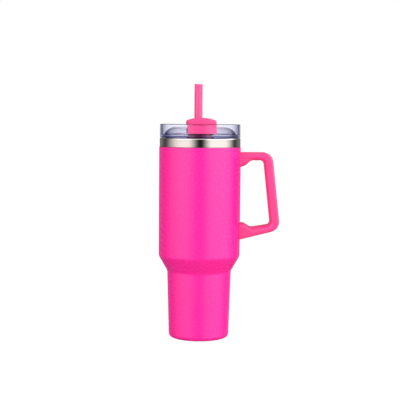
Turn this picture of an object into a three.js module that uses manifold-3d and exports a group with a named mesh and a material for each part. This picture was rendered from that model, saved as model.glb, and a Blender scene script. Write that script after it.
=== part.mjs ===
// A large insulated tumbler: a double-walled steel cup with a side handle, a clear press-in lid,
// a cover that turns on the lid to open the drinking hole, and a straw through the cover.
// Millimetres, +Z up. The origin is on the cup's axis, on the surface the cup stands on.
// The handle points along +X, and the drinking hole and the cover's finger tab face -Y.

import * as THREE from "three";
import { mergeVertices } from "three/addons/utils/BufferGeometryUtils.js";
import Module from "manifold-3d";

const wasm = await Module();
wasm.setup();

// ---- Driving dimensions ----

const clearance = 0.3; // between pieces that touch
const around = 40; // segments round a large turned piece
const aroundSmall = 24; // segments round a small one

// Cup
const footRadius = 36.7;
const footCorner = 5;
const neckRadius = 39.2;
const neckHeight = 82.5;
const neckFillet = 10;
const shoulderRadius = 49.8;
const shoulderHeight = 101;
const shoulderFillet = 13;
const bodyRadius = 50;
const paintTop = 234.4;
const steel = 0.8; // thickness of the steel sheet
const vacuum = 2.4; // space between the two walls
const bandRadius = 49.4;
const bandBottom = 234.8;
const rimTop = 245.8;
const rimFillet = 1.5;
const linerFloor = 9;
const linerCorner = 6;

// Base
const footRing = 29.5; // inner radius of the ring the cup stands on
const plateBottom = 3.2;
const sealHole = 1.3;

// Handle
const handleWidth = 26;
const handleRounding = 3.5;
const handleTop = 228.5;
const upperScrew = { height: 222.5, entersFrom: -1 };
const lowerScrew = { height: 129.5, entersFrom: 1 };
const screwReach = 56.5; // distance of both screws from the cup's axis

// Lid
const lidBottom = rimTop + 0.5;
const lidRadius = 49.2;
const lidTop = 262.3;
const lidWallInside = 46.2;
const gutterFloor = 249.6;
const domeRadius = 43.6;
const domeFlat = 29; // radius inside which the deck is flat
const domeFoot = 251.5;
const deckTop = 259;
const deckThickness = 2.2;
const skirtRadius = 45;
const skirtInside = 41.4;
const skirtBottom = 230;
const grooveBottom = 233;
const grooveTop = 238.6;
const grooveRadius = 43.5;
const collarRadius = 15;
const collarBottom = 251;

// Turning cover
const coverTurn = 3.3; // degrees the cover stands off the straight-ahead position
const coverHalfWidth = 17;
const coverFront = 48.6;
const coverBack = 21;
const coverBottom = 260.6;
const coverSide = 266.5;
const coverCrest = 270;
const coverWall = 2.4;
const turretRadius = 14.6;
const turretBottom = 247.6;
const tabBottom = 250.4;
const tabOutside = 45.75;
const tabInside = 43.95;
const sipCentre = 35.5; // distance of the drinking hole from the axis
const sipLength = 15;
const sipWidth = 8;

// Straw
const strawOffset = -2.4;
const strawRadius = 4.9;
const strawBore = 3.7;
const strawTop = 311;

// ---- Materials ----

const material = (color, roughness, metalness, opacity = 1) =>
  new THREE.MeshStandardMaterial({
    color,
    roughness,
    metalness,
    opacity,
    transparent: opacity < 1,
  });

const pinkCoat = material(0xff2fa3, 0.45, 0);
const pinkPlastic = material(0xff4589, 0.4, 0);
const bareSteel = material(0xb9b6b2, 0.25, 1);
const clearPlastic = material(0xd9d8ea, 0.08, 0, 0.4);
const silicone = material(0xe6e4e8, 0.6, 0, 0.8);
const copper = material(0xc87848, 0.3, 1);
const glassSolder = material(0x4a4f5c, 0.3, 0);
const getterMetal = material(0x77777c, 0.6, 1);

// ---- Turned and extruded shapes ----

const point = (x, y) => new THREE.Vector2(x, y);

// Corners [x, y, fillet] joined by straight lines, each fillet an arc of that radius.
function filleted(corners, closed = false, degreesPerStep = 30) {
  const count = corners.length;
  const path = [];
  corners.forEach(([x, y, fillet = 0], i) => {
    const corner = point(x, y);
    const isEnd = !closed && (i === 0 || i === count - 1);
    if (!fillet || isEnd) {
      path.push(corner);
      return;
    }
    const towards = (j) => point(...corners[(j + count) % count]).sub(corner);
    const back = towards(i - 1).normalize();
    const ahead = towards(i + 1).normalize();
    const halfAngle = Math.acos(back.dot(ahead)) / 2;
    const inwards = back.clone().add(ahead).normalize();
    const centre = corner.clone().addScaledVector(inwards, fillet / Math.sin(halfAngle));
    const from = back.multiplyScalar(fillet / Math.tan(halfAngle)).add(corner).sub(centre);
    const to = ahead.multiplyScalar(fillet / Math.tan(halfAngle)).add(corner).sub(centre);
    const turn = Math.atan2(from.cross(to), from.dot(to));
    const turnDegrees = THREE.MathUtils.radToDeg(Math.abs(turn));
    const steps = Math.max(2, Math.round(turnDegrees / degreesPerStep));
    for (let step = 0; step <= steps; step++)
      path.push(from.clone().rotateAround(point(0, 0), (turn * step) / steps).add(centre));
  });
  return path;
}

// The path moved sideways: to the left of its direction of travel for a positive distance.
function offset(path, distance) {
  return path.map((here, i) => {
    const into = here.clone().sub(path[i - 1] ?? here).normalize();
    const out = (path[i + 1] ?? here).clone().sub(here).normalize();
    if (!into.length()) into.copy(out);
    if (!out.length()) out.copy(into);
    const along = into.clone().add(out).normalize();
    const left = point(-along.y, along.x);
    return here.clone().addScaledVector(left, distance / along.dot(into));
  });
}

// The closed outline of a sheet that lies between two offsets of one path.
const sheet = (path, near, far) => [...offset(path, near), ...offset(path, far).reverse()];

// A closed (radius, height) outline turned about Z, with its faces pointing out.
function turned(outline, segments = around) {
  const loop = THREE.ShapeUtils.isClockWise(outline) ? outline.slice().reverse() : outline.slice();
  const touchesAxis = loop.some((p) => p.x === 0);
  if (touchesAxis) {
    while (loop[0].x !== 0 || loop[loop.length - 1].x !== 0) loop.push(loop.shift());
  } else {
    loop.push(loop[0].clone());
  }
  return new THREE.LatheGeometry(loop, segments).rotateX(Math.PI / 2);
}

const ring = (inside, outside, bottom, top, segments = around) =>
  turned(
    [point(inside, bottom), point(outside, bottom), point(outside, top), point(inside, top)],
    segments,
  );

const rod = (radius, bottom, top, segments = aroundSmall) =>
  new THREE.CylinderGeometry(radius, radius, top - bottom, segments)
    .rotateX(Math.PI / 2)
    .translate(0, 0, (top + bottom) / 2);

const block = (x, y, z) =>
  new THREE.BoxGeometry(x[1] - x[0], y[1] - y[0], z[1] - z[0]).translate(
    (x[0] + x[1]) / 2,
    (y[0] + y[1]) / 2,
    (z[0] + z[1]) / 2,
  );

// A plan outline raised from bottom to top.
const raised = (plan, bottom, top) =>
  new THREE.ExtrudeGeometry(new THREE.Shape(plan), {
    depth: top - bottom,
    bevelEnabled: false,
  }).translate(0, 0, bottom);

// An outline in the XZ plane given a width along Y, centred on the XZ plane.
function widened(outline, width, rounding = 0) {
  const geometry = new THREE.ExtrudeGeometry(new THREE.Shape(outline), {
    depth: width - 2 * rounding,
    bevelEnabled: rounding > 0,
    bevelThickness: rounding,
    bevelSize: rounding,
    bevelOffset: -rounding,
    bevelSegments: 3,
  });
  return geometry.translate(0, 0, rounding - width / 2).rotateX(Math.PI / 2);
}

const roundedRectangle = (length, width, fillet) =>
  filleted(
    [
      [-length / 2, -width / 2, fillet],
      [length / 2, -width / 2, fillet],
      [length / 2, width / 2, fillet],
      [-length / 2, width / 2, fillet],
    ],
    true,
  );

// ---- Boolean joins and cuts ----

function solid(geometry) {
  const bare = geometry.clone();
  bare.deleteAttribute("normal");
  bare.deleteAttribute("uv");
  const merged = mergeVertices(bare, 1e-3);
  return new wasm.Manifold(
    new wasm.Mesh({
      numProp: 3,
      vertProperties: merged.attributes.position.array,
      triVerts: new Uint32Array(merged.index.array),
    }),
  );
}

function geometryOf(manifold) {
  const mesh = manifold.getMesh();
  const geometry = new THREE.BufferGeometry();
  geometry.setAttribute("position", new THREE.BufferAttribute(mesh.vertProperties, 3));
  geometry.setIndex(new THREE.BufferAttribute(mesh.triVerts, 1));
  geometry.computeVertexNormals();
  return geometry;
}

function piece(name, geometry, finish) {
  const mesh = new THREE.Mesh(geometry, finish);
  mesh.name = name;
  return mesh;
}

// ---- Cup walls ----

const paintedWall = [
  point(footRadius, 0),
  point(neckRadius, neckHeight),
  point(shoulderRadius, shoulderHeight),
  point(bodyRadius, paintTop),
];

// Corners of the cup's wall at a distance inside the painted surface, between two heights.
function wallCorners(inset, bottom, top) {
  const [foot, neck, shoulder, lip] = offset(paintedWall, inset);
  const atHeight = (a, b, z) => a.x + ((b.x - a.x) * (z - a.y)) / (b.y - a.y);
  return [
    [atHeight(foot, neck, bottom), bottom],
    [neck.x, neck.y, neckFillet + inset],
    [shoulder.x, shoulder.y, shoulderFillet - inset],
    [atHeight(shoulder, lip, top), top],
  ];
}

function outerShell() {
  const [foot, ...rest] = wallCorners(0, 0, paintTop);
  const path = filleted([[footRing, 0], [...foot, footCorner], ...rest]);
  return turned(sheet(path, 0, steel));
}

// The liner is the wetted vessel, with its mouth flared out and turned down as the bare steel band.
function innerLiner() {
  const inset = steel + vacuum + steel;
  const [foot, neck, shoulder, mouth] = wallCorners(inset, linerFloor, rimTop);
  const path = filleted([
    [0, linerFloor],
    [...foot, linerCorner],
    neck,
    shoulder,
    [...mouth, rimFillet],
    [bandRadius, rimTop, rimFillet],
    [bandRadius, bandBottom],
  ]);
  return turned(sheet(path, 0, -steel));
}

// Foil round the liner that reflects heat back. It is drawn thicker than the real foil.
function copperFoil() {
  const foilInset = steel + vacuum - 0.8;
  const foilThickness = 0.4;
  const path = filleted(wallCorners(foilInset, 14, 228));
  return turned(sheet(path, 0, foilThickness));
}

// ---- Base ----

function basePlate() {
  const path = [
    point(sealHole, plateBottom),
    point(29.3, plateBottom),
    point(30.6, steel + 0.4),
    point(32.2, steel + 0.4),
  ];
  return turned(sheet(path, 0, steel));
}

function baseCover() {
  const edge = footRing - 0.4;
  return turned([
    point(0, 1.2),
    point(20, 1.2),
    point(20.6, 0.9),
    point(edge, 0.9),
    point(edge, 1.7),
    point(0, 1.9),
  ]);
}

function vacuumSeal() {
  const stem = sealHole - 0.4;
  return turned(
    [
      point(0, 2.2),
      point(2.6, 2.2),
      point(3, 2.5),
      point(3, plateBottom - clearance),
      point(stem, plateBottom - clearance),
      point(stem, plateBottom + 1),
      point(0, plateBottom + 1.1),
    ],
    aroundSmall,
  );
}

function getterClip() {
  const clipSheet = 0.4;
  const path = [point(0, 5), point(7.2, 5), point(7.2, 7.4), point(9.8, 7.4)];
  return turned(sheet(path, 0, clipSheet), aroundSmall);
}

const getterPellet = () =>
  turned(
    [
      point(0, 5.75),
      point(6, 5.75),
      point(6.3, 6.05),
      point(6.3, 6.95),
      point(6, 7.2),
      point(0, 7.2),
    ],
    aroundSmall,
  );

// ---- Handle and what fastens it ----

const tongue = { reach: 61, halfWidth: 6, halfHeight: 1.5 };
const flange = { outside: 51.5, halfWidth: 8, halfHeight: 4.5 };
const screw = { head: 2.75, headHeight: 1.9, shank: 1.5, length: 7.9, web: 2.6 };

// Heights measured from the middle of a bracket towards the side its screw enters from.
const pocketFace = tongue.halfHeight + 0.4;
const headSeat = pocketFace + screw.web;

function handle() {
  const outline = filleted(
    [
      [44, handleTop],
      [88.1, handleTop, 12],
      [98.7, 134.5, 13],
      [44, 120.6],
      [44, 141.6],
      [54.3, 141.6, 3.8],
      [62.6, 136.2, 9],
      [86.75, 140.5, 4.5],
      [78, 219, 5.5],
      [62.1, 219, 8],
      [55.8, 212.9, 3.8],
      [44, 208.7],
    ],
    true,
  );
  let made = solid(widened(outline, handleWidth, handleRounding));
  made = made.subtract(solid(rod(bodyRadius + clearance, 100, 250, around)));
  for (const { height, entersFrom } of [upperScrew, lowerScrew]) {
    for (const cut of bracketPocket(height, entersFrom)) made = made.subtract(solid(cut));
  }
  return geometryOf(made);
}

// The room in the handle for one bracket and its screw.
function bracketPocket(height, entersFrom) {
  const span = (a, b) => [Math.min(a, b), Math.max(a, b)].map((z) => height + z);
  const along = (from, to) => span(from * entersFrom, to * entersFrom);
  const slack = 0.4;
  const flangeRoom = solid(rod(flange.outside + slack, ...span(-5, 5), around)).intersect(
    solid(block([40, 60], [-flange.halfWidth - slack, flange.halfWidth + slack], span(-6, 6))),
  );
  const tongueRoom = block(
    [45, tongue.reach + slack],
    [-tongue.halfWidth - slack, tongue.halfWidth + slack],
    span(-pocketFace, pocketFace),
  );
  const hole = rod(screw.shank + slack, ...along(-3.8, headSeat + 1)).translate(screwReach, 0, 0);
  const counterbore = rod(screw.head + 0.55, ...along(headSeat, headSeat + 12));
  return [geometryOf(flangeRoom), tongueRoom, hole, counterbore.translate(screwReach, 0, 0)];
}

// A curved flange spot-welded to the cup, with a tongue that the screw threads into.
function bracket() {
  const inside = bodyRadius + clearance;
  const tall = [-flange.halfHeight, flange.halfHeight];
  const curved = solid(ring(inside, flange.outside, ...tall)).intersect(
    solid(block([40, 60], [-flange.halfWidth, flange.halfWidth], tall)),
  );
  const plate = solid(
    block(
      [inside + 0.5, tongue.reach],
      [-tongue.halfWidth, tongue.halfWidth],
      [-tongue.halfHeight, tongue.halfHeight],
    ),
  );
  const hole = solid(rod(screw.shank + 0.4, -3, 3).translate(screwReach, 0, 0));
  return geometryOf(curved.add(plate).subtract(hole));
}

// Pan-head screw with a hexagon socket, its head at the +Z end and its axis on Z.
function handleScrew() {
  const headBottom = headSeat + clearance;
  const headTop = headBottom + screw.headHeight;
  const outline = [
    point(0, headBottom - screw.length),
    point(screw.shank - 0.4, headBottom - screw.length),
    point(screw.shank, headBottom - screw.length + 0.5),
    point(screw.shank, headBottom),
    point(screw.head, headBottom),
    point(screw.head, headTop - 0.6),
    point(screw.head - 0.6, headTop),
    point(0, headTop),
  ];
  const socket = rod(1.5, headTop - 1.1, headTop + 1, 6);
  return geometryOf(solid(turned(outline, aroundSmall)).subtract(solid(socket)));
}

// ---- Lid ----

// The dome of the lid's deck, from its flat middle out to its foot, raised by a lift.
function domeCurve(lift, outside) {
  const steps = 4;
  const curve = [];
  for (let step = 0; step <= steps; step++) {
    const angle = ((Math.PI / 2) * step) / steps;
    curve.push([
      domeFlat + (outside - domeFlat) * Math.sin(angle),
      domeFoot + lift + (deckTop - domeFoot) * Math.cos(angle),
    ]);
  }
  return curve;
}

function lidBody() {
  const outline = filleted(
    [
      [skirtRadius, lidBottom],
      [lidRadius, lidBottom, 0.8],
      [lidRadius, lidTop, 1],
      [lidWallInside, lidTop, 1],
      [lidWallInside, gutterFloor],
      [domeRadius, gutterFloor],
      ...domeCurve(0, domeRadius).reverse(),
      [collarRadius, deckTop],
      [collarRadius, collarBottom],
      [collarRadius + deckThickness, collarBottom],
      [collarRadius + deckThickness, deckTop - deckThickness],
      ...domeCurve(-deckThickness, skirtInside),
      [skirtInside, skirtBottom],
      [skirtRadius, skirtBottom],
      [skirtRadius, grooveBottom],
      [grooveRadius, grooveBottom],
      [grooveRadius, grooveTop],
      [skirtRadius, grooveTop],
    ],
    true,
    45,
  );
  const slot = roundedRectangle(sipLength, sipWidth, sipWidth / 2 - 0.01);
  const sipHole = raised(slot, 245, 265).translate(0, -sipCentre, 0);
  const ventHole = rod(1.2, 245, 265, 12).translate(0, sipCentre - 1, 0);
  return geometryOf(solid(turned(outline)).subtract(solid(sipHole)).subtract(solid(ventHole)));
}

// Silicone ring in the skirt's groove, with two lips that wipe the liner.
function lidGasket() {
  const inside = grooveRadius + clearance;
  const middle = skirtRadius - 0.1;
  const lip = skirtRadius + 0.65;
  const bottom = grooveBottom + clearance;
  const top = grooveTop - clearance;
  return turned([
    point(inside, bottom),
    point(middle, bottom),
    point(lip, bottom + 1.3),
    point(middle, bottom + 1.7),
    point(middle, top - 1.8),
    point(lip, top - 1.1),
    point(middle, top),
    point(inside, top),
  ]);
}

// ---- Turning cover: a crowned pillow on a turret, with a finger tab in the lid's gutter ----

// Plan of the pillow: straight sides, and both ends round about the lid's axis.
function coverPlan(halfWidth, front, back, steps = 8) {
  const arc = (radius, from, to) => {
    const points = [];
    for (let step = 0; step <= steps; step++) {
      const angle = from + ((to - from) * step) / steps;
      points.push(point(radius * Math.cos(angle), radius * Math.sin(angle)));
    }
    return points;
  };
  const frontAngle = Math.asin(halfWidth / front);
  const backAngle = Math.asin(halfWidth / back);
  return [
    ...arc(front, -Math.PI / 2 - frontAngle, -Math.PI / 2 + frontAngle),
    ...arc(back, Math.PI / 2 - backAngle, Math.PI / 2 + backAngle),
  ];
}

// Everything under the crowned top, lowered by a depth.
function underCrown(depth, bottom) {
  const rise = coverCrest - coverSide;
  const crownRadius = (coverHalfWidth ** 2 + rise ** 2) / (2 * rise);
  const reach = coverHalfWidth + 3;
  const steps = 12;
  const outline = [point(-reach, bottom), point(reach, bottom)];
  for (let step = 0; step <= steps; step++) {
    const x = reach - (2 * reach * step) / steps;
    outline.push(
      point(x, coverCrest - depth - crownRadius + Math.sqrt(crownRadius ** 2 - x ** 2)),
    );
  }
  return solid(widened(outline, 120));
}

// The walled frame under the pillow that holds the soft stopper, less a margin on every side.
const stopperFrame = { length: 24, width: 14.4, wall: 1.5, roof: 264.6 };
const stopperBlock = (margin, bottom, top) =>
  raised(
    roundedRectangle(stopperFrame.length - 2 * margin, stopperFrame.width - 2 * margin, 3),
    bottom,
    top,
  ).translate(0, -sipCentre, 0);

// The peg in the frame's roof that the stopper is pressed onto, or the hole for it.
const stopperPeg = (margin) =>
  rod(2.6 + margin, 261.2 - margin, stopperFrame.roof + 0.4, 24).translate(0, -sipCentre, 0);

function rotatingCover() {
  const pillow = solid(raised(coverPlan(coverHalfWidth, coverFront, coverBack), 255, 275));
  const inside = coverPlan(coverHalfWidth - coverWall, tabInside - 0.4, coverBack - coverWall);
  const hollow = solid(raised(inside, 255, 275)).intersect(underCrown(coverWall, 255));
  const hub = solid(rod(turretRadius + 4.2, 250, 275, around));
  const frame = solid(stopperBlock(0, 250, 275));
  const stopperRoom = solid(stopperBlock(stopperFrame.wall, 250, stopperFrame.roof));
  const overRim = solid(ring(tabOutside, 60, 250, lidTop + 0.4));
  const tab = solid(ring(tabInside, tabOutside, tabBottom, coverBottom + 1)).intersect(
    solid(block([-coverHalfWidth, coverHalfWidth], [-60, 0], [240, 280])),
  );
  const groove = solid(ring(13.2, 16, 248.9, 250.7));
  const turret = solid(rod(turretRadius, turretBottom, coverBottom + 1, around)).subtract(groove);
  const strawHole = solid(rod(7, 240, 280).translate(strawOffset, 0, 0));
  const flangeSeat = solid(rod(8.8, 267.2, 280).translate(strawOffset, 0, 0));
  return geometryOf(
    pillow
      .intersect(underCrown(0, coverBottom))
      .subtract(hollow.subtract(hub).subtract(frame))
      .subtract(stopperRoom)
      .subtract(overRim)
      .add(solid(stopperPeg(0)))
      .add(tab)
      .add(turret)
      .subtract(strawHole)
      .subtract(flangeSeat),
  );
}

// Soft pad that lies over the drinking hole and slides round on the dome.
function drinkStopper() {
  const pad = stopperBlock(stopperFrame.wall + clearance, 250, stopperFrame.roof - clearance);
  const curve = domeCurve(clearance, domeRadius).map(([x, y]) => point(x, y));
  const aboveDome = turned([
    point(0, 275),
    point(0, deckTop + clearance),
    ...curve,
    point(60, domeFoot + clearance),
    point(60, 275),
  ]);
  return geometryOf(
    solid(pad)
      .intersect(solid(aboveDome))
      .subtract(solid(stopperPeg(clearance))),
  );
}

const coverSeal = () => ring(15.2, 16.7, deckTop + clearance, coverBottom - clearance);

function retainingRing() {
  const whole = solid(ring(13.5, 17, 249.1, 250.5));
  return geometryOf(whole.subtract(solid(block([-3, 3], [0, 20], [248, 252]))));
}

function strawGrommet() {
  const bore = strawRadius + clearance;
  return turned(
    [
      point(bore + 0.4, 256),
      point(6.7, 256),
      point(6.7, 267.5),
      point(8.5, 267.5),
      point(8.5, 268.6),
      point(bore + 0.4, 268.6),
      point(bore, 267.6),
      point(bore + 0.5, 266),
      point(bore + 0.5, 259),
      point(bore, 257.4),
    ],
    aroundSmall,
  );
}

// ---- Straw ----

function straw() {
  const bottom = linerFloor + clearance;
  const round = 0.35;
  return turned(
    filleted(
      [
        [strawBore, bottom, round],
        [strawRadius, bottom, round],
        [strawRadius, strawTop, round],
        [strawBore, strawTop, round],
      ],
      true,
      45,
    ),
    aroundSmall,
  );
}

// ---- Assembly ----

const tumbler = new THREE.Group();

const cup = new THREE.Group();
cup.add(
  piece("outer_shell", outerShell(), pinkCoat),
  piece("inner_liner", innerLiner(), bareSteel),
  piece("copper_foil", copperFoil(), copper),
  piece("base_plate", basePlate(), bareSteel),
  piece("base_cover", baseCover(), bareSteel),
  piece("vacuum_seal", vacuumSeal(), glassSolder),
  piece("getter_clip", getterClip(), bareSteel),
  piece("getter_pellet", getterPellet(), getterMetal),
  piece("handle", handle(), pinkPlastic),
);
for (const [name, { height, entersFrom }] of Object.entries({
  upper: upperScrew,
  lower: lowerScrew,
})) {
  const mounting = new THREE.Group();
  mounting.position.z = height;
  const fastener = piece(`${name}_handle_screw`, handleScrew(), bareSteel);
  fastener.position.x = screwReach;
  if (entersFrom < 0) fastener.rotation.x = Math.PI;
  mounting.add(piece(`${name}_handle_bracket`, bracket(), bareSteel), fastener);
  cup.add(mounting);
}

const lid = new THREE.Group();
lid.add(
  piece("lid_body", lidBody(), clearPlastic),
  piece("lid_gasket", lidGasket(), silicone),
);

const cover = new THREE.Group();
cover.rotation.z = THREE.MathUtils.degToRad(coverTurn);
const grommet = piece("straw_grommet", strawGrommet(), silicone);
grommet.position.x = strawOffset;
const drinkingStraw = piece("straw", straw(), pinkPlastic);
drinkingStraw.position.x = strawOffset;
cover.add(
  piece("rotating_cover", rotatingCover(), pinkPlastic),
  piece("cover_seal", coverSeal(), silicone),
  piece("drink_stopper", drinkStopper(), silicone),
  piece("retaining_ring", retainingRing(), bareSteel),
  grommet,
  drinkingStraw,
);

tumbler.add(cup, lid, cover);

export default tumbler;
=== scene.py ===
"""Looks of the insulated tumbler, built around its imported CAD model. Blender 4.5, metres, +Z up.
The handle points along +X and the camera looks along +Y. Sizes below are in millimetres."""

import math

import bmesh
import bpy
from mathutils import Matrix, Vector


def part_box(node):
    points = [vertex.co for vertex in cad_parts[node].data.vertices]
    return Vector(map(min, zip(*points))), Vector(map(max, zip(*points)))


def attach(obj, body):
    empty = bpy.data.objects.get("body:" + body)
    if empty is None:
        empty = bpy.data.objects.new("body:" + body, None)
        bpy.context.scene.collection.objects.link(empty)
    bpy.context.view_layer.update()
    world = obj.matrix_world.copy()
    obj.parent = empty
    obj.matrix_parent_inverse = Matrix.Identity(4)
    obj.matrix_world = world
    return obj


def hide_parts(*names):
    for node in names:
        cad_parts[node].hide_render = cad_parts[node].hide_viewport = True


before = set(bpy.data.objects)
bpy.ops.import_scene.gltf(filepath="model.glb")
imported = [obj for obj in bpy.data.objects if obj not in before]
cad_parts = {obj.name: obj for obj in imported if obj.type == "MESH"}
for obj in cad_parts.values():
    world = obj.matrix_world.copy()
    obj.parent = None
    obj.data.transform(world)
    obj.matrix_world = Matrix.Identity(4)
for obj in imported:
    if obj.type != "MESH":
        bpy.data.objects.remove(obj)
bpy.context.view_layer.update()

MM = 0.001
AROUND = 192  # segments round a large turned piece
AROUND_SMALL = 96
SHARP_ANGLE = 32  # degrees between two faces from which their edge is shaded sharp


def low(node):
    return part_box(node)[0] / MM


def high(node):
    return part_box(node)[1] / MM


# ---- Driving dimensions, taken from the CAD frame where it has them ----

STEEL = 0.8  # thickness of the steel sheet
VACUUM = 2.4  # space between the two walls

FOOT_RADIUS = 36.7
FOOT_CORNER = 5
FOOT_RING = 29.5
NECK = Vector((39.2, 82.5))
NECK_FILLET = 7
SHOULDER = Vector((49.8, 101))
SHOULDER_FILLET = 9
BODY_RADIUS = high("outer_shell").y
PAINT_TOP = high("outer_shell").z
LINER_FLOOR = 9
LINER_CORNER = 6
BAND_RADIUS = high("inner_liner").y
BAND_BOTTOM = 234.8
RIM_TOP = high("inner_liner").z
RIM_FILLET = 1.5

LID_BOTTOM = RIM_TOP + 0.5
LID_TOP = high("lid_body").z
LID_RADIUS = high("lid_body").y
LID_WALL_INSIDE = 46.2
GUTTER_FLOOR = 249.6
DOME_RADIUS = 43.6
DOME_FLAT = 29
DOME_FOOT = 251.5
DECK_TOP = 259
DOME_EASE = 1.6  # how gently the dome meets the gutter; 1 is a quarter ellipse
DECK_THICKNESS = 2.2
THROUGH_DECK = (245, 265)  # heights between which a hole goes right through the deck
SKIRT_RADIUS = 45
SKIRT_INSIDE = 41.4
SKIRT_BOTTOM = low("lid_body").z
GROOVE = {"radius": 43.5, "bottom": 233, "top": 238.6}
COLLAR_RADIUS = 15
COLLAR_BOTTOM = 251

COVER_TURN = math.radians(3.3)
COVER_HALF_WIDTH = 17
COVER_FRONT = 48.6
COVER_BACK = 21
COVER_BOTTOM = 260.6
COVER_LIP = LID_TOP + 0.2
COVER_SIDE = 266.5
COVER_CREST = high("rotating_cover").z
TAB_OUTSIDE = 45.75
TAB_THICKNESS = 1.8
TAB_BOTTOM = 251.2
TURRET_RADIUS = 14.6
TURRET_BOTTOM = low("rotating_cover").z
TURRET_GROOVE = {"radius": 13.2, "bottom": 248.9, "top": 250.7}  # for the retaining ring
STRAW_HOLE = 7
GROMMET_SEAT = {"radius": 8.8, "bottom": 267.2}
STOPPER_ROOF = 264.6  # top of the well that the stopper sits in
THROUGH_COVER = (240, 280)  # heights between which a cut goes right through the cover
SIP_CENTRE = 35.5
SIP_LENGTH = 15
SIP_WIDTH = 8
PAD = Vector((20.4, 10.8))  # the stopper's size in plan
PEG = {"radius": 2.6, "bottom": 261.2}  # the stopper is pressed onto it

STRAW_OFFSET = -2.4
STRAW_RADIUS = 4.9
STRAW_BORE = 3.7

HANDLE_WIDTH = high("handle").y - low("handle").y
HANDLE_TOP = high("handle").z
HANDLE_ROOT = 44  # both ends start inside the cup, and are cut off round along its wall
HANDLE_REACH = 88.1  # the outer face at the top
HANDLE_CORNER = (98.62, 134.5)  # where the outer face meets the underside
HANDLE_UNDERSIDE = 120.6  # the underside at the root
SCREW_REACH = 56.5
SCREWS = {"upper": (222.5, -1), "lower": (129.5, 1)}  # height, and the side the screw enters from


# ---- Outlines: lists of 2D points in millimetres ----


def filleted(corners, closed=False, step=7.5):
    """Corners (x, y) or (x, y, fillet) joined by straight lines, with an arc at each fillet."""
    path = []
    count = len(corners)
    for i, corner in enumerate(corners):
        here = Vector(corner[:2])
        fillet = corner[2] if len(corner) > 2 else 0
        if not fillet or (not closed and i in (0, count - 1)):
            path.append(here)
            continue
        back = (Vector(corners[i - 1][:2]) - here).normalized()
        ahead = (Vector(corners[(i + 1) % count][:2]) - here).normalized()
        half = back.angle(ahead) / 2
        centre = here + (back + ahead).normalized() * fillet / math.sin(half)
        start = here + back * fillet / math.tan(half) - centre
        end = here + ahead * fillet / math.tan(half) - centre
        turn = math.atan2(start.x * end.y - start.y * end.x, start.dot(end))
        steps = max(2, round(math.degrees(abs(turn)) / step))
        for k in range(steps + 1):
            path.append(centre + Matrix.Rotation(turn * k / steps, 2) @ start)
    return path


def offset(path, distance, closed=False):
    """The path moved to the left of its direction of travel, by one distance or one a point."""
    count = len(path)
    distances = distance if isinstance(distance, list) else [distance] * count
    moved = []
    for i, here in enumerate(path):
        into = here - path[i - 1] if closed or i else path[1] - here
        out = path[(i + 1) % count] - here if closed or i < count - 1 else into
        into, out = into.normalized(), out.normalized()
        along = (into + out).normalized()
        left = Vector((-along.y, along.x))
        moved.append(here + left * distances[i] / along.dot(into))
    return moved


def sheet(path, near, far):
    """The closed outline of a steel sheet between two offsets of a path, its edges eased."""
    first, last = offset(path, near), offset(path, far)
    ease = abs(far - near) * 0.3
    outline = [(*p, 0) for p in first] + [(*p, 0) for p in reversed(last)]
    for i in (0, len(first) - 1, len(first), -1):
        if outline[i][0] > 0.01:
            outline[i] = (*outline[i][:2], ease)
    return filleted(outline, closed=True, step=30)


def wall(inset, bottom, top):
    """Corners of the cup's wall at a distance inside the painted surface, between two heights."""
    corners = [Vector((FOOT_RADIUS, 0)), NECK, SHOULDER, Vector((BODY_RADIUS, PAINT_TOP))]
    foot, neck, shoulder, lip = offset(corners, inset)

    def radius(a, b, z):
        return a.x + (b.x - a.x) * (z - a.y) / (b.y - a.y)

    return [
        (radius(foot, neck, bottom), bottom),
        (*neck, NECK_FILLET + inset),
        (*shoulder, SHOULDER_FILLET - inset),
        (radius(shoulder, lip, top), top),
    ]


def arc(radius, start, end, steps, centre=(0, 0)):
    angles = [start + (end - start) * k / steps for k in range(steps + 1)]
    x, y = centre
    return [Vector((x + radius * math.cos(a), y + radius * math.sin(a))) for a in angles]


def rounded_rectangle(size, fillet, centre=(0, 0)):
    x, y = size[0] / 2, size[1] / 2
    corners = [(-x, -y, fillet), (x, -y, fillet), (x, y, fillet), (-x, y, fillet)]
    return [p + Vector(centre) for p in filleted(corners, closed=True)]


# ---- Meshes ----


def made(name, mesh):
    """A linked object from a bmesh built in millimetres, its faces pointing out."""
    bmesh.ops.recalc_face_normals(mesh, faces=mesh.faces)
    bmesh.ops.scale(mesh, vec=(MM, MM, MM), verts=mesh.verts)
    data = bpy.data.meshes.new(name)
    mesh.to_mesh(data)
    mesh.free()
    piece = bpy.data.objects.new(name, data)
    bpy.context.scene.collection.objects.link(piece)
    return piece


def revolved(name, outline, segments=AROUND):
    """A (radius, height) outline turned about Z. It is closed, or runs from the axis to the axis."""
    mesh = bmesh.new()
    on_axis = any(abs(p.x) < 1e-6 for p in outline)
    rings = []
    for radius, z in outline:
        if abs(radius) < 1e-6:
            rings.append([mesh.verts.new((0, 0, z))])
            continue
        turns = (math.tau * k / segments for k in range(segments))
        places = ((radius * math.cos(a), radius * math.sin(a), z) for a in turns)
        rings.append([mesh.verts.new(place) for place in places])
    pairs = list(zip(rings, rings[1:]))
    if not on_axis:
        pairs.append((rings[-1], rings[0]))
    for a, b in pairs:
        for k in range(segments):
            n = (k + 1) % segments
            corners = [a[k % len(a)], a[n % len(a)], b[n % len(b)], b[k % len(b)]]
            corners = list(dict.fromkeys(corners))
            if len(corners) > 2:
                mesh.faces.new(corners)
    return made(name, mesh)


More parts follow.
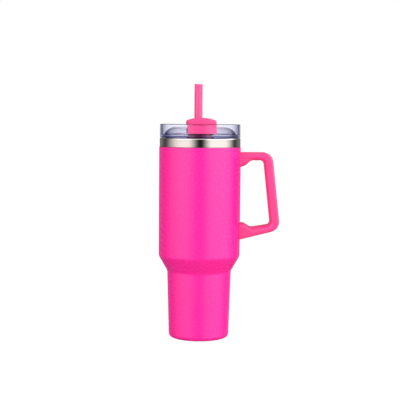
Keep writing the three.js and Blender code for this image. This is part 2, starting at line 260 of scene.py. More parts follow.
def stacked(name, rings):
    """A closed skin over rings of equally many points, the first and the last of them capped."""
    mesh = bmesh.new()
    loops = [[mesh.verts.new(p) for p in ring] for ring in rings]
    count = len(loops[0])
    for a, b in zip(loops, loops[1:]):
        for k in range(count):
            n = (k + 1) % count
            mesh.faces.new([a[k], a[n], b[n], b[k]])
    mesh.faces.new(loops[0])
    mesh.faces.new(list(reversed(loops[-1])))
    return made(name, mesh)


def raised(name, outline, bottom, top):
    """A plan outline raised from one height to another."""
    return stacked(name, [[(p.x, p.y, z) for p in outline] for z in (bottom, top)])


def tube(inside, outside, bottom, top):
    corners = [(inside, bottom), (outside, bottom), (outside, top), (inside, top)]
    return revolved("tube", [Vector(p) for p in corners])


def rod(radius, bottom, top, centre=(0, 0), segments=AROUND_SMALL):
    circle = arc(radius, 0, math.tau * (1 - 1 / segments), segments - 1, centre)
    return raised("rod", circle, bottom, top)


def block(x, y, z):
    outline = [Vector(p) for p in ((x[0], y[0]), (x[1], y[0]), (x[1], y[1]), (x[0], y[1]))]
    return raised("block", outline, *z)


def apply_modifiers(piece):
    graph = bpy.context.evaluated_depsgraph_get()
    data = bpy.data.meshes.new_from_object(piece.evaluated_get(graph))
    piece.modifiers.clear()
    piece.data = data


def boolean(piece, tool, operation):
    modifier = piece.modifiers.new("boolean", "BOOLEAN")
    modifier.operation = operation
    modifier.object = tool
    modifier.solver = "EXACT"
    apply_modifiers(piece)
    bpy.data.objects.remove(tool)


def cut(piece, *tools):
    for tool in tools:
        boolean(piece, tool, "DIFFERENCE")


def join(piece, *others):
    for other in others:
        boolean(piece, other, "UNION")


def common(piece, tool):
    boolean(piece, tool, "INTERSECT")


def ease_edges(piece, width, segments=3, angle=40):
    """Rounds the edges where two faces meet at more than an angle in degrees."""
    modifier = piece.modifiers.new("edges", "BEVEL")
    modifier.width = width * MM
    modifier.segments = segments
    modifier.limit_method = "ANGLE"
    modifier.angle_limit = math.radians(angle)
    apply_modifiers(piece)


def turn_with_cover(piece):
    piece.data.transform(Matrix.Rotation(COVER_TURN, 4, "Z"))
    return piece


def settle(piece, body, material, slot, *nodes):
    """Puts a finished piece on its body, in place of its CAD nodes."""
    piece.data.materials.clear()
    piece.data.materials.append(material)
    piece.data.shade_smooth()
    piece.data.set_sharp_from_angle(angle=math.radians(SHARP_ANGLE))
    weighted = piece.modifiers.new("even_shading", "WEIGHTED_NORMAL")
    weighted.keep_sharp = True
    weighted.weight = 90
    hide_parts(*nodes)
    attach(piece, body)


# ---- Materials ----

# Where a material changes over a surface, in metres, as shader coordinates are.
LINER_SATIN = (0.0468, 0.0478)  # the liner is satin inside this radius and polished outside it
FLANGE_SHADE_HEIGHTS = (0.2474, 0.2486)  # the clear lid's colour is darkened below these heights, as painted shade

FLANGE_PAINTED_SHADE = (0.3, 0.3, 0.5)  # painted shade: the clear lid's colour near the foot of its wall, darkened where the thick flange looks darker
CLEAR_TINT = (0.97, 0.965, 0.985)


class Surface:
    """A Principled material. Its even values sit on the shader, and its detail comes from noise."""

    def __init__(self, name, **values):
        self.material = bpy.data.materials.new(name)
        self.material.use_nodes = True
        self.tree = self.material.node_tree
        self.add, self.link = self.tree.nodes.new, self.tree.links.new
        self.shader = self.tree.nodes["Principled BSDF"]
        for socket, value in values.items():
            label = socket.replace("_", " ").title().replace("Ior", "IOR")
            self.shader.inputs[label].default_value = value
        coordinates = self.add("ShaderNodeTexCoord")
        self.place = coordinates.outputs["Object"]
        self.height = None

    def noise(self, scale, stretch=(1, 1, 1), detail=3, roughness=0.5):
        """Noise with features of about 1/scale metres, squeezed along each axis by stretch."""
        mapping = self.add("ShaderNodeMapping")
        mapping.inputs["Scale"].default_value = stretch
        texture = self.add("ShaderNodeTexNoise")
        texture.inputs["Scale"].default_value = scale
        texture.inputs["Detail"].default_value = detail
        texture.inputs["Roughness"].default_value = roughness
        self.link(self.place, mapping.inputs["Vector"])
        self.link(mapping.outputs["Vector"], texture.inputs["Vector"])
        return texture.outputs["Fac"]

    def rings(self, scale, detail=4):
        """Noise that is the same all round the Z axis, as lathe marks are."""
        combine = self.add("ShaderNodeCombineXYZ")
        texture = self.add("ShaderNodeTexNoise")
        texture.inputs["Scale"].default_value = scale
        texture.inputs["Detail"].default_value = detail
        self.link(self.radius(), combine.inputs["X"])
        self.link(self.height_up(), combine.inputs["Z"])
        self.link(combine.outputs[0], texture.inputs["Vector"])
        return texture.outputs["Fac"]

    def radius(self):
        """Distance from the Z axis, in metres."""
        length = self.add("ShaderNodeVectorMath")
        length.operation = "LENGTH"
        flat = self.add("ShaderNodeVectorMath")
        flat.operation = "MULTIPLY"
        flat.inputs[1].default_value = (1, 1, 0)
        self.link(self.place, flat.inputs[0])
        self.link(flat.outputs[0], length.inputs[0])
        return length.outputs["Value"]

    def height_up(self):
        """Height over the foot, in metres."""
        separate = self.add("ShaderNodeSeparateXYZ")
        self.link(self.place, separate.inputs[0])
        return separate.outputs["Z"]

    def larger(self, first, second):
        pick = self.add("ShaderNodeMath")
        pick.operation = "MAXIMUM"
        self.link(first, pick.inputs[0])
        self.link(second, pick.inputs[1])
        return pick.outputs[0]

    def ranged(self, value, lowest, highest, start=0.3, end=0.7):
        """A value spread over a range of results. Noise mostly lies between 0.3 and 0.7."""
        span = self.add("ShaderNodeMapRange")
        span.inputs["From Min"].default_value = start
        span.inputs["From Max"].default_value = end
        span.inputs["To Min"].default_value = lowest
        span.inputs["To Max"].default_value = highest
        self.link(value, span.inputs["Value"])
        return span.outputs["Result"]

    def vary_color(self, value, first, second, start=0.3, end=0.7):
        mix = self.add("ShaderNodeMix")
        mix.data_type = "RGBA"
        mix.inputs["A"].default_value = (*first, 1)
        mix.inputs["B"].default_value = (*second, 1)
        self.link(self.ranged(value, 0, 1, start, end), mix.inputs["Factor"])
        self.link(mix.outputs["Result"], self.shader.inputs["Base Color"])

    def vary_roughness(self, value, lowest, highest):
        self.link(self.ranged(value, lowest, highest), self.shader.inputs["Roughness"])

    def bump(self, value, depth):
        """Relief of a depth in millimetres. Several add up."""
        node = self.add("ShaderNodeBump")
        node.inputs["Strength"].default_value = 1
        node.inputs["Distance"].default_value = depth * MM
        self.link(value, node.inputs["Height"])
        if self.height:
            self.link(self.height, node.inputs["Normal"])
        self.height = node.outputs["Normal"]
        self.link(self.height, self.shader.inputs["Normal"])


def powder_coat():
    coat = Surface("pink_powder_coat", roughness=0.26, ior=1.5)
    coat.vary_color(coat.noise(60, detail=5), (0.93, 0.014, 0.3), (0.95, 0.016, 0.31))
    coat.vary_roughness(coat.noise(300), 0.23, 0.3)
    coat.bump(coat.noise(700, detail=2), 0.004)
    coat.bump(coat.noise(2400, detail=2), 0.002)
    return coat.material


def moulded_plastic():
    plastic = Surface("pink_moulded_plastic", roughness=0.4, ior=1.47)
    plastic.vary_color(plastic.noise(45, detail=4), (0.9, 0.044, 0.225), (0.94, 0.05, 0.243))
    plastic.vary_roughness(plastic.noise(500), 0.36, 0.44)
    plastic.bump(plastic.noise(2200, detail=2), 0.012)
    return plastic.material


def straw_plastic():
    tube_wall = Surface("pink_straw_plastic", roughness=0.2, ior=1.49, transmission_weight=0.4)
    tube_wall.vary_color(tube_wall.noise(45, detail=4), (0.97, 0.12, 0.385), (0.99, 0.13, 0.4))
    tube_wall.vary_roughness(tube_wall.noise(200, stretch=(1, 1, 0.1)), 0.14, 0.24)
    tube_wall.bump(tube_wall.noise(600, stretch=(1, 1, 0.05)), 0.01)
    return tube_wall.material


def polished_steel():
    steel = Surface("polished_steel", metallic=1.0, roughness=0.12)
    steel.vary_color(steel.rings(900), (0.60, 0.575, 0.555), (0.68, 0.65, 0.63))
    band = steel.ranged(steel.rings(2500), 0.07, 0.14)
    inside = steel.ranged(steel.radius(), 0.4, 0, *LINER_SATIN)
    steel.link(steel.larger(band, inside), steel.shader.inputs["Roughness"])
    steel.bump(steel.rings(3500), 0.004)
    return steel.material


def brushed_steel():
    steel = Surface("brushed_steel", metallic=1.0, roughness=0.32)
    steel.vary_color(steel.rings(1200), (0.50, 0.49, 0.48), (0.62, 0.6, 0.585))
    steel.vary_roughness(steel.rings(3000), 0.26, 0.42)
    steel.bump(steel.rings(4000), 0.012)
    return steel.material


def clear_plastic():
    clear = Surface("clear_plastic", transmission_weight=1.0, ior=1.49)
    absorb = clear.add("ShaderNodeVolumeAbsorption")
    absorb.inputs["Color"].default_value = (0.42, 0.44, 0.9, 1)
    absorb.inputs["Density"].default_value = 18
    output = clear.tree.nodes["Material Output"]
    clear.link(absorb.outputs[0], output.inputs["Volume"])
    # Painted shade: the lid's colour goes darker below the flange heights, where the thick flange
    # looks dark.
    clear.vary_color(clear.height_up(), FLANGE_PAINTED_SHADE, CLEAR_TINT, *FLANGE_SHADE_HEIGHTS)
    clear.vary_roughness(clear.noise(90), 0.01, 0.05)
    shade = clear.add("ShaderNodeBsdfTransparent")
    shade.inputs["Color"].default_value = (0.97, 0.96, 1, 1)
    mix = clear.add("ShaderNodeMixShader")
    path = clear.add("ShaderNodeLightPath")
    clear.link(path.outputs["Is Shadow Ray"], mix.inputs["Fac"])
    clear.link(clear.shader.outputs[0], mix.inputs[1])
    clear.link(shade.outputs[0], mix.inputs[2])
    clear.link(mix.outputs[0], output.inputs["Surface"])
    clear.bump(clear.noise(140, detail=1), 0.01)
    return clear.material


def silicone():
    soft = Surface(
        "white_silicone",
        roughness=0.5,
        ior=1.41,
        subsurface_weight=0.6,
        subsurface_scale=0.002,
        transmission_weight=0.15,
    )
    soft.vary_color(soft.noise(150), (0.78, 0.78, 0.8), (0.86, 0.86, 0.88))
    soft.bump(soft.noise(2500, detail=2), 0.01)
    return soft.material


def copper_foil():
    foil = Surface("copper_foil", metallic=1.0, roughness=0.25)
    foil.vary_color(foil.noise(120), (0.85, 0.42, 0.25), (0.93, 0.55, 0.36))
    foil.bump(foil.noise(90, detail=6, roughness=0.7), 0.4)
    return foil.material


def fused_glass():
    glass = Surface("fused_glass", roughness=0.15, ior=1.6)
    glass.vary_color(glass.noise(900), (0.03, 0.035, 0.045), (0.07, 0.075, 0.09))
    glass.bump(glass.noise(700), 0.02)
    return glass.material


def getter_powder():
    powder = Surface("getter_powder", metallic=0.7, roughness=0.7)
    powder.vary_color(powder.noise(1800), (0.16, 0.16, 0.17), (0.32, 0.32, 0.34))
    powder.bump(powder.noise(2500), 0.08)
    return powder.material


COAT = powder_coat()
PLASTIC = moulded_plastic()
STRAW_PLASTIC = straw_plastic()
POLISHED = polished_steel()
BRUSHED = brushed_steel()
CLEAR = clear_plastic()
SILICONE = silicone()


# ---- Cup ----


def outer_shell():
    foot, neck, shoulder, lip = wall(0, 0, PAINT_TOP)
    path = filleted([(FOOT_RING, 0), (*foot, FOOT_CORNER), neck, shoulder, lip])
    shell = revolved("painted_shell", sheet(path, 0, STEEL))
    settle(shell, "cup", COAT, "pink_coat", "outer_shell")


def inner_liner():
    foot, neck, shoulder, mouth = wall(STEEL + VACUUM + STEEL, LINER_FLOOR, RIM_TOP)
    corners = [
        (0, LINER_FLOOR),
        (*foot, LINER_CORNER),
        neck,
        shoulder,
        (*mouth, RIM_FILLET),
        (BAND_RADIUS, RIM_TOP, RIM_FILLET),
        (BAND_RADIUS, BAND_BOTTOM),
    ]
    liner = revolved("steel_liner", sheet(filleted(corners), 0, -STEEL))
    settle(liner, "cup", POLISHED, "steel", "inner_liner")


def base_cover():
    edge = high("base_cover").y
    bottom = low("base_cover").z
    outline = filleted(
        [
            (0, bottom + 0.3),
            (19.6, bottom + 0.3, 0.6),
            (20.8, bottom, 0.6),
            (edge - 0.2, bottom, 0.3),
            (edge, bottom + 0.4, 0.2),
            (edge, bottom + 0.8),
            (0, bottom + 1),
        ]
    )
    settle(revolved("base_disc", outline), "cup", BRUSHED, "steel", "base_cover")


# ---- Handle ----


def handle_outline():
    """The loop seen from the side, as (x, z) points, and how far each one's edge is rounded."""
    outer = [
        (HANDLE_ROOT, HANDLE_TOP),
        (HANDLE_REACH, HANDLE_TOP, 12),
        (*HANDLE_CORNER, 13),
        (HANDLE_ROOT, HANDLE_UNDERSIDE),
    ]
    inner = [
        (HANDLE_ROOT, 141.6),
        (54.3, 141.6, 4.2),
        (62.6, 136.2, 9),
        (86.75, 140.5, 4.5),
        (78, 219, 5.5),
        (62.1, 219, 8),
        (55.8, 212.9, 4.2),
        (HANDLE_ROOT, 208.7),
    ]
    outline = filleted(outer + inner, closed=True)
    at_root, more_on_grip, outside = 3.4, 1.7, 3.0
    rounding = []
    for point in outline:
        near_inner = any((point - Vector(c[:2])).length < 12 for c in inner)
        spread = min(max((point.x - 57) / 9, 0), 1)
        inside = at_root + more_on_grip * spread
        rounding.append(inside if near_inner and is_inside(point) else outside)
    return outline, rounding


def is_inside(point):
    """True for the side of the loop that the fingers touch."""
    corner_x, corner_z = HANDLE_CORNER
    down = (HANDLE_TOP - point.y) / (HANDLE_TOP - corner_z)
    outside_x = HANDLE_REACH + (corner_x - HANDLE_REACH) * down
    slope = (corner_z - HANDLE_UNDERSIDE) / (corner_x - HANDLE_ROOT)
    lower_edge = corner_z - (corner_x - point.x) * slope
    return point.x < outside_x - 8 and lower_edge + 6 < point.y < HANDLE_TOP - 6


def handle():
    outline, rounding = handle_outline()
    half = HANDLE_WIDTH / 2
    steps = 8
    rings = []
    for side in (-1, 1):
        for k in range(steps + 1):
            angle = math.pi / 2 * (k if side < 0 else steps - k) / steps
            inset = [-r * (1 - math.sin(angle)) for r in rounding]
            ring = offset(outline, inset, closed=True)
            depth = [side * (half - r * (1 - math.cos(angle))) for r in rounding]
            rings.append([(p.x, y, p.y) for p, y in zip(ring, depth)])
    loop = stacked("handle_loop", rings)
    cut(loop, rod(BODY_RADIUS + 0.1, 100, 250, segments=AROUND))
    for height, side in SCREWS.values():
        head_well = sorted((height + side * 4.5, height + side * 17))
        shank_hole = sorted((height - side * 4, height + side * 5))
        cut(loop, rod(3.3, *head_well, (SCREW_REACH, 0), 48))
        cut(loop, rod(1.9, *shank_hole, (SCREW_REACH, 0), 32))
        cut(loop, block((45, 61.4), (-6.4, 6.4), (height - 1.9, height + 1.9)))  # bracket's tongue
        cut(loop, block((45, 52), (-8.4, 8.4), (height - 5, height + 5)))  # bracket's foot
    settle(loop, "cup", PLASTIC, "pink_plastic", "handle")


def handle_screws():
    seat = 4.8
    head = seat + 1.9
    outline = filleted(
        [
            (0, -3.1),
            (1.2, -3.1),
            (1.5, -2.6),
            (1.5, seat),
            (2.75, seat, 0.15),
            (2.75, head, 0.9),
            (0, head),
        ]
    )
    for name, (height, side) in SCREWS.items():
        fastener = revolved(name + "_screw", outline, 48)
        cut(fastener, rod(1.5, seat + 0.8, seat + 3, segments=6))
        turn = Matrix.Rotation(math.pi if side < 0 else 0, 4, "X")
        fastener.data.transform(Matrix.Translation(Vector((SCREW_REACH, 0, height)) * MM) @ turn)
        settle(fastener, "cup", BRUSHED, "steel", f"{name}_handle_screw")


# ---- Lid ----


def dome(lift, outside):
    """The deck's dome from its flat middle out to its foot, raised by a lift."""
    steps = 24
    rise = DECK_TOP - DOME_FOOT
    points = []
    for k in range(steps + 1):
        angle = math.pi / 2 * k / steps
        radius = DOME_FLAT + (outside - DOME_FLAT) * math.sin(angle)
        points.append((radius, DOME_FOOT + lift + rise * math.cos(angle) ** DOME_EASE))
    return points


def lid_body():
    outline = filleted(
        [
            (SKIRT_RADIUS, LID_BOTTOM, 0.4),
            (LID_RADIUS, LID_BOTTOM, 0.8),
            (LID_RADIUS, LID_TOP, 0.8),
            (LID_WALL_INSIDE, LID_TOP, 0.6),
            (LID_WALL_INSIDE, GUTTER_FLOOR, 0.7),
            (DOME_RADIUS, GUTTER_FLOOR, 0.7),
            *reversed(dome(0, DOME_RADIUS)),
            (COLLAR_RADIUS, DECK_TOP, 0.5),
            (COLLAR_RADIUS, COLLAR_BOTTOM, 0.4),
            (COLLAR_RADIUS + DECK_THICKNESS, COLLAR_BOTTOM, 0.4),
            (COLLAR_RADIUS + DECK_THICKNESS, DECK_TOP - DECK_THICKNESS, 1),
            *dome(-DECK_THICKNESS, SKIRT_INSIDE),
            (SKIRT_INSIDE, SKIRT_BOTTOM, 0.8),
            (SKIRT_RADIUS, SKIRT_BOTTOM, 0.8),
            (SKIRT_RADIUS, GROOVE["bottom"], 0.2),
            (GROOVE["radius"], GROOVE["bottom"], 0.2),
            (GROOVE["radius"], GROOVE["top"], 0.2),
            (SKIRT_RADIUS, GROOVE["top"], 0.2),
        ],
        closed=True,
        step=15,
    )
    lid = revolved("clear_lid", outline)
    slot = rounded_rectangle((SIP_LENGTH, SIP_WIDTH), SIP_WIDTH / 2 - 0.05, (0, -SIP_CENTRE))
    vent = rod(1.2, *THROUGH_DECK, (0, SIP_CENTRE - 1), 32)
    cut(lid, raised("slot", slot, *THROUGH_DECK), vent)
    settle(lid, "lid", CLEAR, "clear_plastic", "lid_body")


def lid_gasket():
    inside = GROOVE["radius"] + 0.2
    middle = SKIRT_RADIUS - 0.1
    lip = high("lid_gasket").y
    bottom, top = low("lid_gasket").z, high("lid_gasket").z
    outline = filleted(
        [
            (inside, bottom, 0.2),
            (middle, bottom, 0.2),
            (lip, bottom + 1.3, 0.15),
            (middle, bottom + 1.7, 0.3),
            (middle, top - 1.8, 0.3),
            (lip, top - 1.1, 0.15),
            (middle, top, 0.2),
            (inside, top, 0.2),
        ],
        closed=True,
        step=20,
    )
    settle(revolved("lid_gasket_ring", outline), "lid", SILICONE, "silicone", "lid_gasket")


# ---- Turning cover ----


def pillow_outline(inset, front, corner=0):
    """Plan of the cover: straight sides, ends round about the lid's axis, and rounded corners."""
    half = COVER_HALF_WIDTH - inset
    front_angle = math.asin(half / front)
    back = COVER_BACK - inset
    back_angle = math.asin(half / back)
    steps = 12
    front_arc = arc(front, -math.pi / 2 - front_angle, -math.pi / 2 + front_angle, steps)
    back_arc = arc(back, math.pi / 2 - back_angle, math.pi / 2 + back_angle, steps)
    corners = [(*p, 0) for p in front_arc + back_arc]
    for i in (0, steps, steps + 1, -1):
        corners[i] = (*corners[i][:2], corner)
    return filleted(corners, closed=True, step=10)


def crown_height(x):
    rise = COVER_CREST - COVER_SIDE
    radius = (COVER_HALF_WIDTH**2 + rise**2) / (2 * rise)
    return COVER_CREST - radius + math.sqrt(radius**2 - x**2)


def pillow():
    """The crowned top of the cover, with its edges rounded and its lip standing off the lid."""
    outline = pillow_outline(0, COVER_FRONT, corner=2.4)
    lip, edge = 0.6, 1.7  # how far the lower and the upper edge are rounded
    lip_steps, edge_steps = 5, 6
    rings = []
    for k in range(lip_steps + 1):
        angle = math.pi / 2 * k / lip_steps
        height = COVER_LIP + lip * (1 - math.cos(angle))
        inset = offset(outline, lip * (1 - math.sin(angle)), closed=True)
        rings.append([(p.x, p.y, height) for p in inset])
    for k in range(edge_steps + 1):
        angle = math.pi / 2 * k / edge_steps
        drop = edge * (1 - math.sin(angle))
        inset = offset(outline, edge * (1 - math.cos(angle)), closed=True)
        rings.append([(p.x, p.y, crown_height(p.x) - drop) for p in inset])
    middle = Vector((0, (COVER_BACK - COVER_FRONT) / 2))
    for share in (0.9, 0.75, 0.6, 0.45, 0.3, 0.15, 0.03):
        shrunk = [middle + (p - middle) * share for p in inset]
        rings.append([(p.x, p.y, crown_height(p.x)) for p in shrunk])
    return stacked("turning_cover", rings)


def rotating_cover():
    cover = pillow()
    into_pillow = COVER_LIP + 2
    lower = raised("lower", pillow_outline(0.4, TAB_OUTSIDE - 1), COVER_BOTTOM, into_pillow)
    tab = tube(TAB_OUTSIDE - TAB_THICKNESS, TAB_OUTSIDE, TAB_BOTTOM, into_pillow)
    side = COVER_HALF_WIDTH - 0.1
    common(tab, block((-side, side), (-60, 0), THROUGH_COVER))
    ease_edges(tab, 0.6, 4)
    turret = rod(TURRET_RADIUS, TURRET_BOTTOM, COVER_BOTTOM + 1, segments=AROUND)
    cut(turret, tube(TURRET_GROOVE["radius"], 16, TURRET_GROOVE["bottom"], TURRET_GROOVE["top"]))
    join(cover, lower, tab, turret)
    well = rounded_rectangle(PAD + Vector((0.6, 0.6)), 3, (0, -SIP_CENTRE))
    cut(
        cover,
        rod(STRAW_HOLE, *THROUGH_COVER, (STRAW_OFFSET, 0)),
        rod(GROMMET_SEAT["radius"], GROMMET_SEAT["bottom"], THROUGH_COVER[1], (STRAW_OFFSET, 0)),
        raised("well", well, 255, STOPPER_ROOF),
    )
    join(cover, rod(PEG["radius"], PEG["bottom"], 265.2, (0, -SIP_CENTRE)))
    settle(turn_with_cover(cover), "cover", PLASTIC, "pink_plastic", "rotating_cover")


def drink_stopper():
    top = high("drink_stopper").z
    pad = raised("stopper_pad", rounded_rectangle(PAD, 3, (0, -SIP_CENTRE)), 250, top)
    above = [Vector((0, 275)), Vector((0, DECK_TOP + 0.3))]
    above += [Vector(p) for p in dome(0.3, DOME_RADIUS)]
    above += [Vector((60, DOME_FOOT + 0.3)), Vector((60, 275))]
    common(pad, revolved("above_dome", above))
    ease_edges(pad, 0.5, 3)
    cut(pad, rod(PEG["radius"] + 0.2, PEG["bottom"] - 0.2, 275, (0, -SIP_CENTRE)))
    settle(turn_with_cover(pad), "cover", SILICONE, "silicone", "drink_stopper")


def cover_seal():
    inside = 15.2
    outside = high("cover_seal").x
    bottom, top = low("cover_seal").z, high("cover_seal").z
    corners = [(inside, bottom), (outside, bottom), (outside, top), (inside, top)]
    outline = filleted([(*c, 0.3) for c in corners], closed=True, step=20)
    settle(revolved("cover_seal_ring", outline), "cover", SILICONE, "silicone", "cover_seal")


def retaining_ring():
    bottom, top = low("retaining_ring").z, high("retaining_ring").z
    corners = [(13.5, bottom), (17, bottom), (17, top), (13.5, top)]
    split = revolved("split_ring", filleted([(*c, 0.2) for c in corners], closed=True, step=20))
    cut(split, block((-3, 3), (0, 20), (bottom - 1, top + 1)))
    settle(turn_with_cover(split), "cover", BRUSHED, "steel", "retaining_ring")


def straw_grommet():
    bore = STRAW_RADIUS + 0.3
    outline = filleted(
        [
            (bore + 0.4, 256, 0.2),
            (6.7, 256, 0.3),
            (6.7, 267.5, 0.2),
            (8.5, 267.5, 0.3),
            (8.5, 268.6, 0.4),
            (bore + 0.4, 268.6, 0.3),
            (bore, 267.6, 0.3),
            (bore + 0.5, 266, 0.5),
            (bore + 0.5, 259, 0.5),
            (bore, 257.4, 0.3),
        ],
        closed=True,
        step=20,
    )
    sleeve = revolved("straw_sleeve", outline, AROUND_SMALL)
    sleeve.data.transform(Matrix.Translation((STRAW_OFFSET * MM, 0, 0)))
    settle(turn_with_cover(sleeve), "cover", SILICONE, "silicone", "straw_grommet")


def straw():
    bottom, top = low("straw").z, high("straw").z
    corners = [(STRAW_BORE, bottom), (STRAW_RADIUS, bottom), (STRAW_RADIUS, top), (STRAW_BORE, top)]
    outline = filleted([(*c, 0.45) for c in corners], closed=True, step=15)
    tall = revolved("drinking_straw", outline, AROUND_SMALL)
    tall.data.transform(Matrix.Translation((STRAW_OFFSET * MM, 0, 0)))
    settle(turn_with_cover(tall), "drinking_straw", STRAW_PLASTIC, "pink_plastic", "straw")


def inner_nodes():
    """The sealed inner pieces keep their CAD shapes."""
    finishes = {
        "copper_foil": copper_foil(),
        "base_plate": BRUSHED,
        "vacuum_seal": fused_glass(),
        "getter_clip": BRUSHED,
        "getter_pellet": getter_powder(),
        "upper_handle_bracket": BRUSHED,
        "lower_handle_bracket": BRUSHED,
    }
    for node, material in finishes.items():
        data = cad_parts[node].data
        data.materials.clear()
        data.materials.append(material)


# ---- Stage, light and camera ----

FLOOR = {"radius": 900, "segments": 128, "bottom": -6, "top": -0.1}
FLOOR_GLOW = {"share": 0.93, "strength": 1.04}  # makes it look white to the camera
FLOOR_SEEN, FLOOR_LIT = 0.94, 0.54  # its grey to the camera, and to the light that it returns


def floor():
    """A pale round floor. It looks white to the camera, returns light, and isn't seen in gloss."""
    last = FLOOR["segments"] - 1
    rim = arc(FLOOR["radius"], 0, math.tau * last / FLOOR["segments"], last)
    disc = raised("floor", rim, FLOOR["bottom"], FLOOR["top"])
    material = bpy.data.materials.new("pale_floor")
    material.use_nodes = True
    nodes, link = material.node_tree.nodes, material.node_tree.links.new
    nodes.remove(nodes["Principled BSDF"])
    bright, dim = nodes.new("ShaderNodeBsdfDiffuse"), nodes.new("ShaderNodeBsdfDiffuse")
    bright.inputs["Color"].default_value = (*[FLOOR_SEEN] * 3, 1)
    glow, pale = nodes.new("ShaderNodeEmission"), nodes.new("ShaderNodeMixShader")
    glow.inputs["Strength"].default_value = FLOOR_GLOW["strength"]
    pale.inputs["Fac"].default_value = FLOOR_GLOW["share"]
    link(bright.outputs[0], pale.inputs[1])
    link(glow.outputs[0], pale.inputs[2])
    dim.inputs["Color"].default_value = (*[FLOOR_LIT] * 3, 1)
    mix, path = nodes.new("ShaderNodeMixShader"), nodes.new("ShaderNodeLightPath")
    unseen, gloss = nodes.new("ShaderNodeBsdfTransparent"), nodes.new("ShaderNodeMixShader")
    link(path.outputs["Is Glossy Ray"], gloss.inputs["Fac"])
    link(dim.outputs[0], gloss.inputs[1])
    link(unseen.outputs[0], gloss.inputs[2])
    link(path.outputs["Is Camera Ray"], mix.inputs["Fac"])
    link(gloss.outputs[0], mix.inputs[1])
    link(pale.outputs[0], mix.inputs[2])
    link(mix.outputs[0], nodes["Material Output"].inputs["Surface"])
    disc.data.materials.append(material)


# Soft panels of light round the object. Azimuth 0 is in front, and 90 on the handle's side.
# Each has azimuths and elevations, in degrees, where it fades in and out, a strength and a tint.
WHITE = (1, 1, 1)
ALL_ROUND = (-200, -190, 190, 200)
LOW, MIDDLE, HIGH = (-34, -16, 10, 26), (2, 14, 22, 38), (12, 22, 30, 45)
REAR = (-30, -15, 50, 70)
UNDER, OVER = (-110, -100, -40, -20), (54, 75, 100, 110)
PANELS = [
    {"azimuth": ALL_ROUND, "elevation": UNDER, "strength": 0.08, "tint": WHITE},
    {"azimuth": (-122, -52, -36, -2), "elevation": LOW, "strength": 1.42, "tint": (1, 0.92, 0.88)},
    {"azimuth": (4, 35, 72, 118), "elevation": LOW, "strength": 1.48, "tint": (1, 0.96, 0.93)},
    {"azimuth": (-106, -50, -42, -8), "elevation": MIDDLE, "strength": 2.42, "tint": WHITE},
    {"azimuth": (8, 32, 92, 138), "elevation": MIDDLE, "strength": 3.05, "tint": WHITE},
    {"azimuth": (-110, -48, 92, 142), "elevation": HIGH, "strength": 2.85, "tint": WHITE},
    {"azimuth": ALL_ROUND, "elevation": OVER, "strength": 0.5, "tint": WHITE},
    {"azimuth": (104, 150, 200, 210), "elevation": REAR, "strength": 0.22, "tint": WHITE},
    {"azimuth": (-210, -200, -150, -104), "elevation": REAR, "strength": 0.22, "tint": WHITE},
]
AMBIENT = 0.02
# Only rays that have passed through clear plastic see this: a pale backdrop that fades out to
# both sides, with the panels dimmed. It gives the lid the look that it has in the photograph.
BACKDROP = {
    "azimuth": (154, 174),
    "elevation": (-60, -30, 50, 70),
    "tint": (0.92, 0.9, 0.86),
    "around": (0.1, 0.11, 0.23),
}
DIMMED = 0.88

CAMERA = {"place": (0.0005, -1.33, 0.267), "pitch": 4.2, "roll": 0.5, "lens": 97.65}


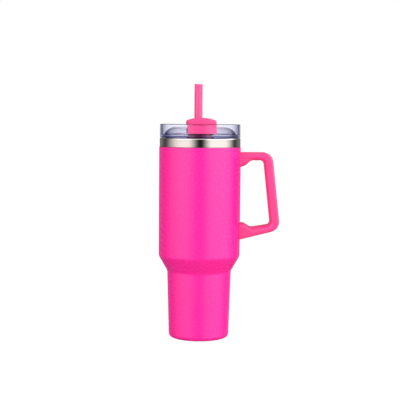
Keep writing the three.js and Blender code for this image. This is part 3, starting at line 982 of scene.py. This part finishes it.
def studio_light():
    world = bpy.data.worlds.new("studio")
    bpy.context.scene.world = world
    world.use_nodes = True
    nodes, link = world.node_tree.nodes, world.node_tree.links.new

    def math_node(operation, first, second=None):
        node = nodes.new("ShaderNodeMath")
        node.operation = operation
        for socket, value in zip(node.inputs, (first, second)):
            if isinstance(value, (int, float)):
                socket.default_value = value
            elif value is not None:
                link(value, socket)
        return node.outputs[0]

    def fade(value, start, end):
        node = nodes.new("ShaderNodeMapRange")
        node.interpolation_type = "SMOOTHSTEP"
        node.inputs["From Min"].default_value = math.radians(start)
        node.inputs["From Max"].default_value = math.radians(end)
        link(value, node.inputs["Value"])
        return node.outputs["Result"]

    def between(value, limits):
        rise = fade(value, *limits[:2])
        fall = math_node("SUBTRACT", 1, fade(value, *limits[2:]))
        return math_node("MULTIPLY", rise, fall)

    separate = nodes.new("ShaderNodeSeparateXYZ")
    link(nodes.new("ShaderNodeTexCoord").outputs["Generated"], separate.inputs[0])
    forward = math_node("MULTIPLY", separate.outputs["Y"], -1)
    azimuth = math_node("ARCTAN2", separate.outputs["X"], forward)
    elevation = math_node("ARCSINE", separate.outputs["Z"])
    total = None
    for panel in PANELS:
        across, up = between(azimuth, panel["azimuth"]), between(elevation, panel["elevation"])
        glow = nodes.new("ShaderNodeVectorMath")
        glow.operation = "SCALE"
        glow.inputs[0].default_value = Vector(panel["tint"]) * panel["strength"]
        link(math_node("MULTIPLY", across, up), glow.inputs["Scale"])
        add = nodes.new("ShaderNodeVectorMath")
        add.operation = "ADD"
        add.inputs[0].default_value = (AMBIENT,) * 3
        if total:
            link(total, add.inputs[0])
        link(glow.outputs[0], add.inputs[1])
        total = add.outputs[0]
    lit = nodes["Background"]
    link(total, lit.inputs["Color"])
    path = nodes.new("ShaderNodeLightPath")
    dimming = math_node("MULTIPLY", path.outputs["Is Transmission Ray"], DIMMED)
    through_lid = math_node("SUBTRACT", 1, dimming)
    scattered = math_node("MINIMUM", path.outputs["Diffuse Depth"], 1)
    link(math_node("MAXIMUM", through_lid, scattered), lit.inputs["Strength"])
    plain = nodes.new("ShaderNodeBackground")
    plain.inputs["Color"].default_value = (1, 1, 1, 1)
    across = fade(math_node("ABSOLUTE", azimuth), *BACKDROP["azimuth"])
    backdrop = math_node("MULTIPLY", across, between(elevation, BACKDROP["elevation"]))
    behind, around = nodes.new("ShaderNodeBackground"), nodes.new("ShaderNodeBackground")
    behind.inputs["Color"].default_value = (*BACKDROP["tint"], 1)
    shown = math_node("MULTIPLY", backdrop, path.outputs["Is Transmission Ray"])
    link(shown, behind.inputs["Strength"])
    around.inputs["Color"].default_value = (*BACKDROP["around"], 1)
    link(path.outputs["Is Transmission Ray"], around.inputs["Strength"])
    pair, through = nodes.new("ShaderNodeAddShader"), nodes.new("ShaderNodeAddShader")
    link(behind.outputs[0], pair.inputs[0])
    link(around.outputs[0], pair.inputs[1])
    link(pair.outputs[0], through.inputs[0])
    link(lit.outputs[0], through.inputs[1])
    mix = nodes.new("ShaderNodeMixShader")
    link(path.outputs["Is Camera Ray"], mix.inputs["Fac"])
    link(through.outputs[0], mix.inputs[1])
    link(plain.outputs[0], mix.inputs[2])
    link(mix.outputs[0], nodes["World Output"].inputs["Surface"])


def camera():
    data = bpy.data.cameras.new("camera")
    data.sensor_width = 36
    data.lens = CAMERA["lens"]
    view = bpy.data.objects.new("camera", data)
    bpy.context.scene.collection.objects.link(view)
    pitch, roll = math.radians(90 - CAMERA["pitch"]), math.radians(CAMERA["roll"])
    view.matrix_world = (
        Matrix.Translation(CAMERA["place"])
        @ Matrix.Rotation(pitch, 4, "X")
        @ Matrix.Rotation(roll, 4, "Z")
    )
    bpy.context.scene.camera = view
    bpy.context.scene.view_settings.view_transform = "Standard"


camera()
studio_light()
floor()
outer_shell()
inner_liner()
base_cover()
handle()
handle_screws()
lid_body()
lid_gasket()
rotating_cover()
drink_stopper()
cover_seal()
retaining_ring()
straw_grommet()
straw()
inner_nodes()
